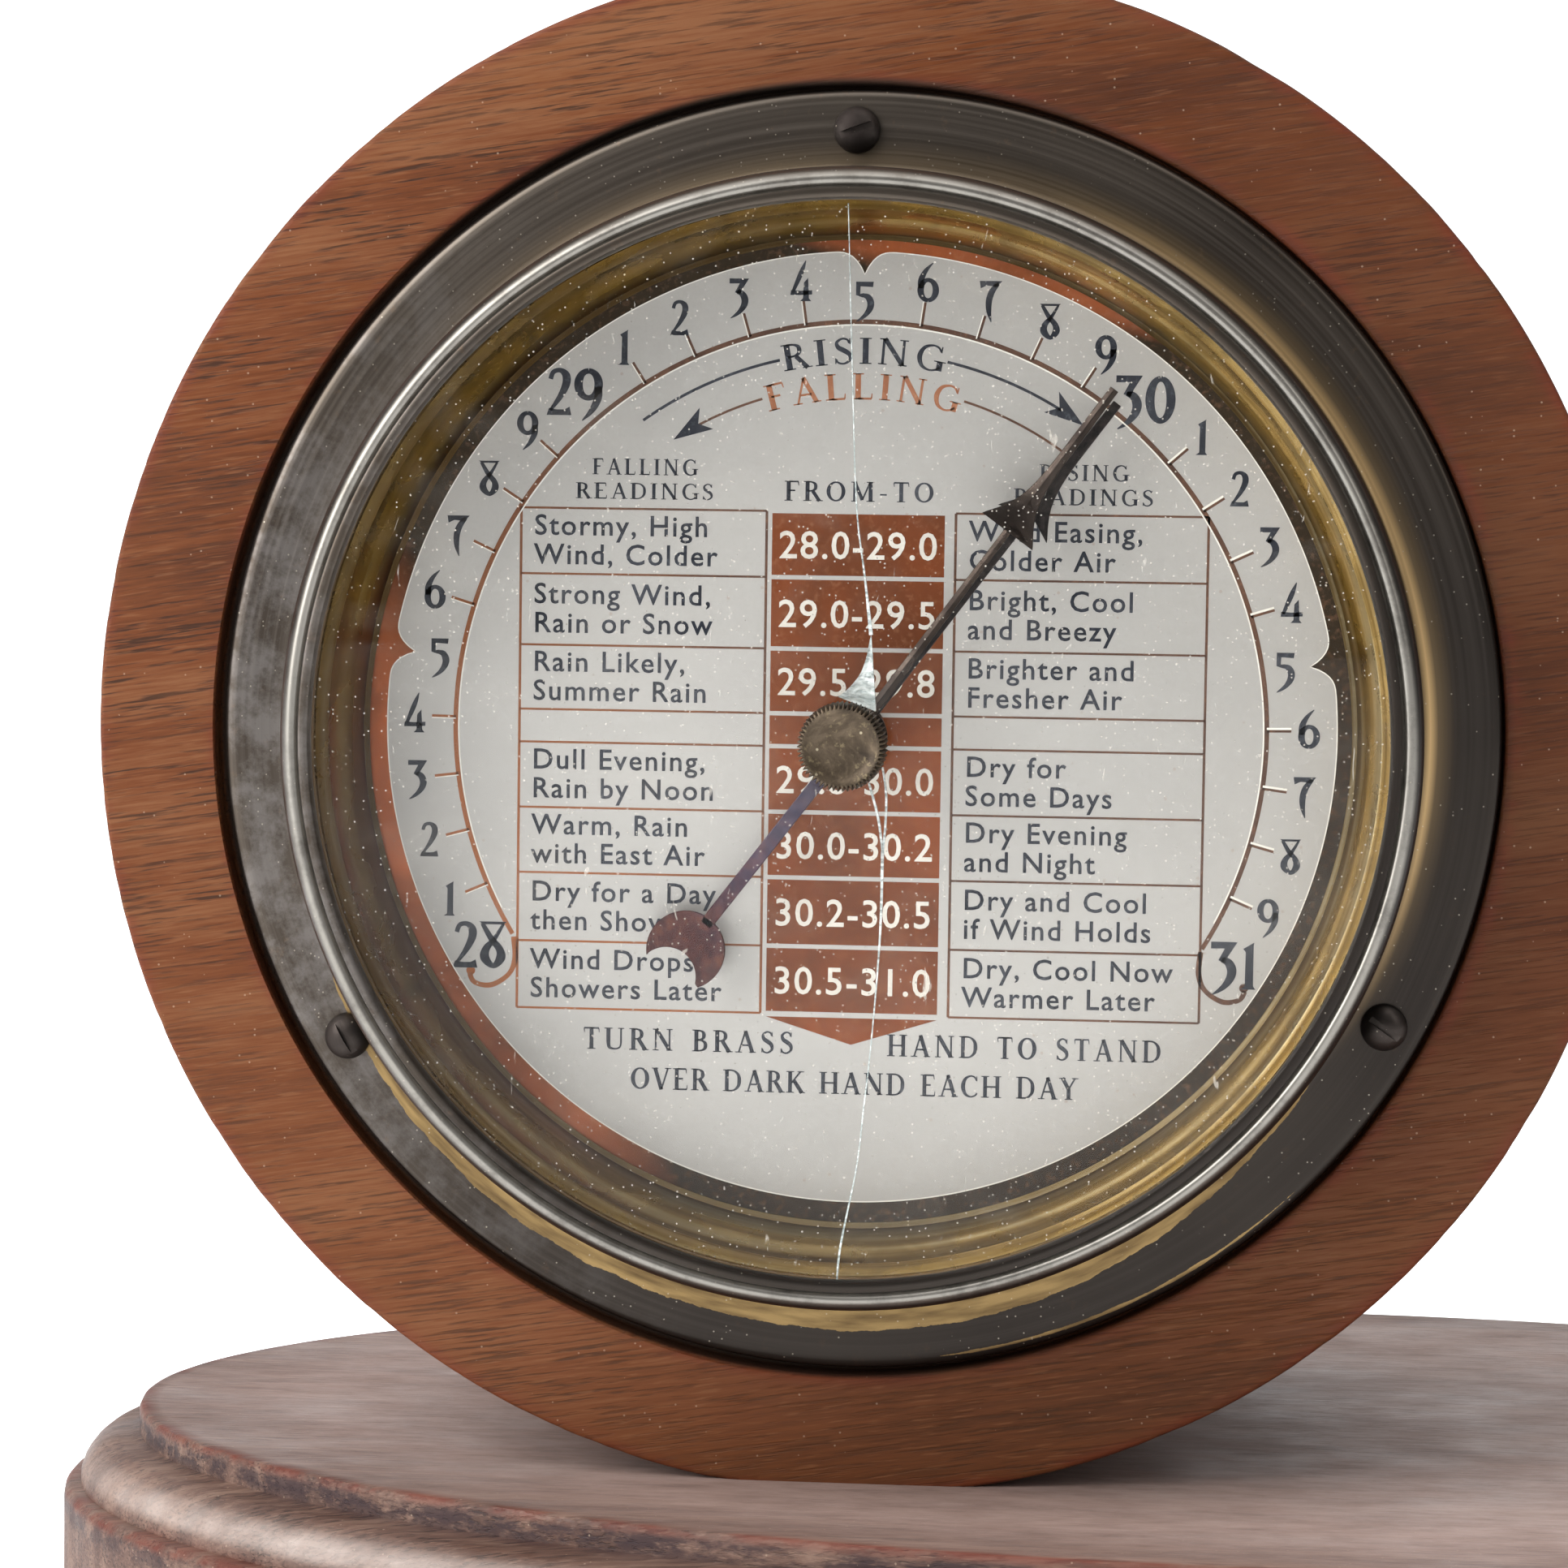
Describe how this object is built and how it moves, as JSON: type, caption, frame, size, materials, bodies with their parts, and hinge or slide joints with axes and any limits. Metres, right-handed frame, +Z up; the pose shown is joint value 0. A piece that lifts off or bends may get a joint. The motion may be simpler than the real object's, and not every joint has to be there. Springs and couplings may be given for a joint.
{
  "type": "aneroid barometer",
  "caption": "Desk aneroid barometer: a round dial with pointer and set hand in a turned wooden drum on a moulded oval base.",
  "frame": {"origin": "middle of the base's underside, at table height", "axes": "+X to the right of the dial and along the base's length, +Y from the dial into the case, +Z up"},
  "size_m": [0.2412, 0.1346, 0.1595],
  "materials": {
    "base_wood": "matt, dusty walnut brown",
    "drum_wood": "satin red-brown mahogany",
    "felt": "green baize",
    "glass": "clear, cracked",
    "cork": "fibre ring",
    "dial_metal": "silvered, with copper-coloured borders",
    "bronzed_brass": "dark bronzed, worn to brass",
    "dark_steel": "tarnished",
    "polished_brass": "polished, lacquered",
    "blued_steel": "blued black, rusted tail",
    "aged_brass": "tarnished",
    "nickel_silver": "dull nickel silver",
    "spring_steel": "blued",
    "cast_iron": "black",
    "zinc_steel": "dull",
    "steel": "bright",
    "movement_brass": "brushed",
    "back_metal": "dull brass sheet"
  },
  "bodies": {
    "case": {"base_board": "base_wood", "base_felt": "felt", "base_screws": "zinc_steel", "drum_case": "drum_wood", "bezel": "bronzed_brass", "bezel_screws": "dark_steel", "glass": "glass", "glass_gasket": "cork", "dial_surround": "polished_brass", "glass_bush": "polished_brass", "dial_plate": "dial_metal", "dial_posts": "movement_brass", "dial_post_screws": "steel", "movement_can": "movement_brass", "movement_plate": "movement_brass", "movement_screws": "steel", "vacuum_capsule": "nickel_silver", "spring_stand": "cast_iron", "stand_screws": "steel", "main_spring": "spring_steel", "spring_clamp": "movement_brass", "spring_clamp_screws": "steel", "rocker_bracket": "movement_brass", "bracket_screws": "steel", "chain": "steel", "arbor_bridge": "movement_brass", "bridge_pillars": "movement_brass", "bridge_screws": "steel", "arbor_cock": "movement_brass", "cock_pillars": "movement_brass", "cock_screws": "steel", "hairspring": "spring_steel", "hairspring_stud": "movement_brass", "back_cover": "back_metal", "back_cover_screws": "movement_brass"},
    "pointer_group": {"pointer": "blued_steel", "pointer_arbor": "steel"},
    "set_hand_group": {"set_hand": "aged_brass", "set_spindle": "aged_brass", "set_knob": "aged_brass", "set_washer": "aged_brass"},
    "rocker": {"rocking_shaft": "steel", "link_arm": "movement_brass", "chain_arm": "movement_brass"},
    "lever": {"main_lever": "movement_brass", "lever_pin": "steel"},
    "link": {"connecting_link": "movement_brass"},
    "capsule_head": {"capsule_post": "movement_brass", "capsule_pin": "steel"},
    "adjuster": {"zero_screw": "steel"}
  },
  "joints": [
    {"name": "pointer_turn", "type": "hinge", "parent": "case", "child": "pointer_group", "pos_m": [-0.0404, -0.033, 0.0895], "axis": [0, 1, 0], "range_deg": [-158.9, 84.1], "deforming": ["hairspring"]},
    {"name": "set_hand_turn", "type": "hinge", "parent": "case", "child": "set_hand_group", "pos_m": [-0.0404, -0.033, 0.0895], "axis": [0, 1, 0], "continuous": true},
    {"name": "rocker_rock", "type": "hinge", "parent": "case", "child": "rocker", "pos_m": [-0.0124, -0.009, 0.0895], "axis": [0, 0, 1], "range_deg": [-7.86, 14.86], "deforming": ["chain"]},
    {"name": "lever_tilt", "type": "hinge", "parent": "case", "child": "lever", "pos_m": [-0.0644, -0.007, 0.0895], "axis": [0, 0, 1], "range_deg": [-0.97, 0.52], "deforming": ["main_spring"]},
    {"name": "link_swing", "type": "hinge", "parent": "lever", "child": "link", "pos_m": [-0.0156, 0.0002, 0.0895], "axis": [0, 0, 1], "range_deg": [-0.52, 0.97]},
    {"name": "capsule_travel", "type": "slide", "parent": "case", "child": "capsule_head", "axis": [0, 1, 0], "range_m": [-0.0004081, 0.000216], "deforming": ["vacuum_capsule"]},
    {"name": "zero_screw_turn", "type": "hinge", "parent": "case", "child": "adjuster", "pos_m": [-0.0687, 0.013, 0.0895], "axis": [0, 1, 0], "range_deg": [-360, 360]}
  ],
  "couplings": [
    {"joint": "rocker_rock", "follows": "pointer_turn", "ratio": -0.091667},
    {"joint": "lever_tilt", "follows": "pointer_turn", "ratio": 0.0060109},
    {"joint": "link_swing", "follows": "pointer_turn", "ratio": -0.0060109},
    {"joint": "capsule_travel", "follows": "pointer_turn", "m_per_rad": 0.00014426}
  ]
}
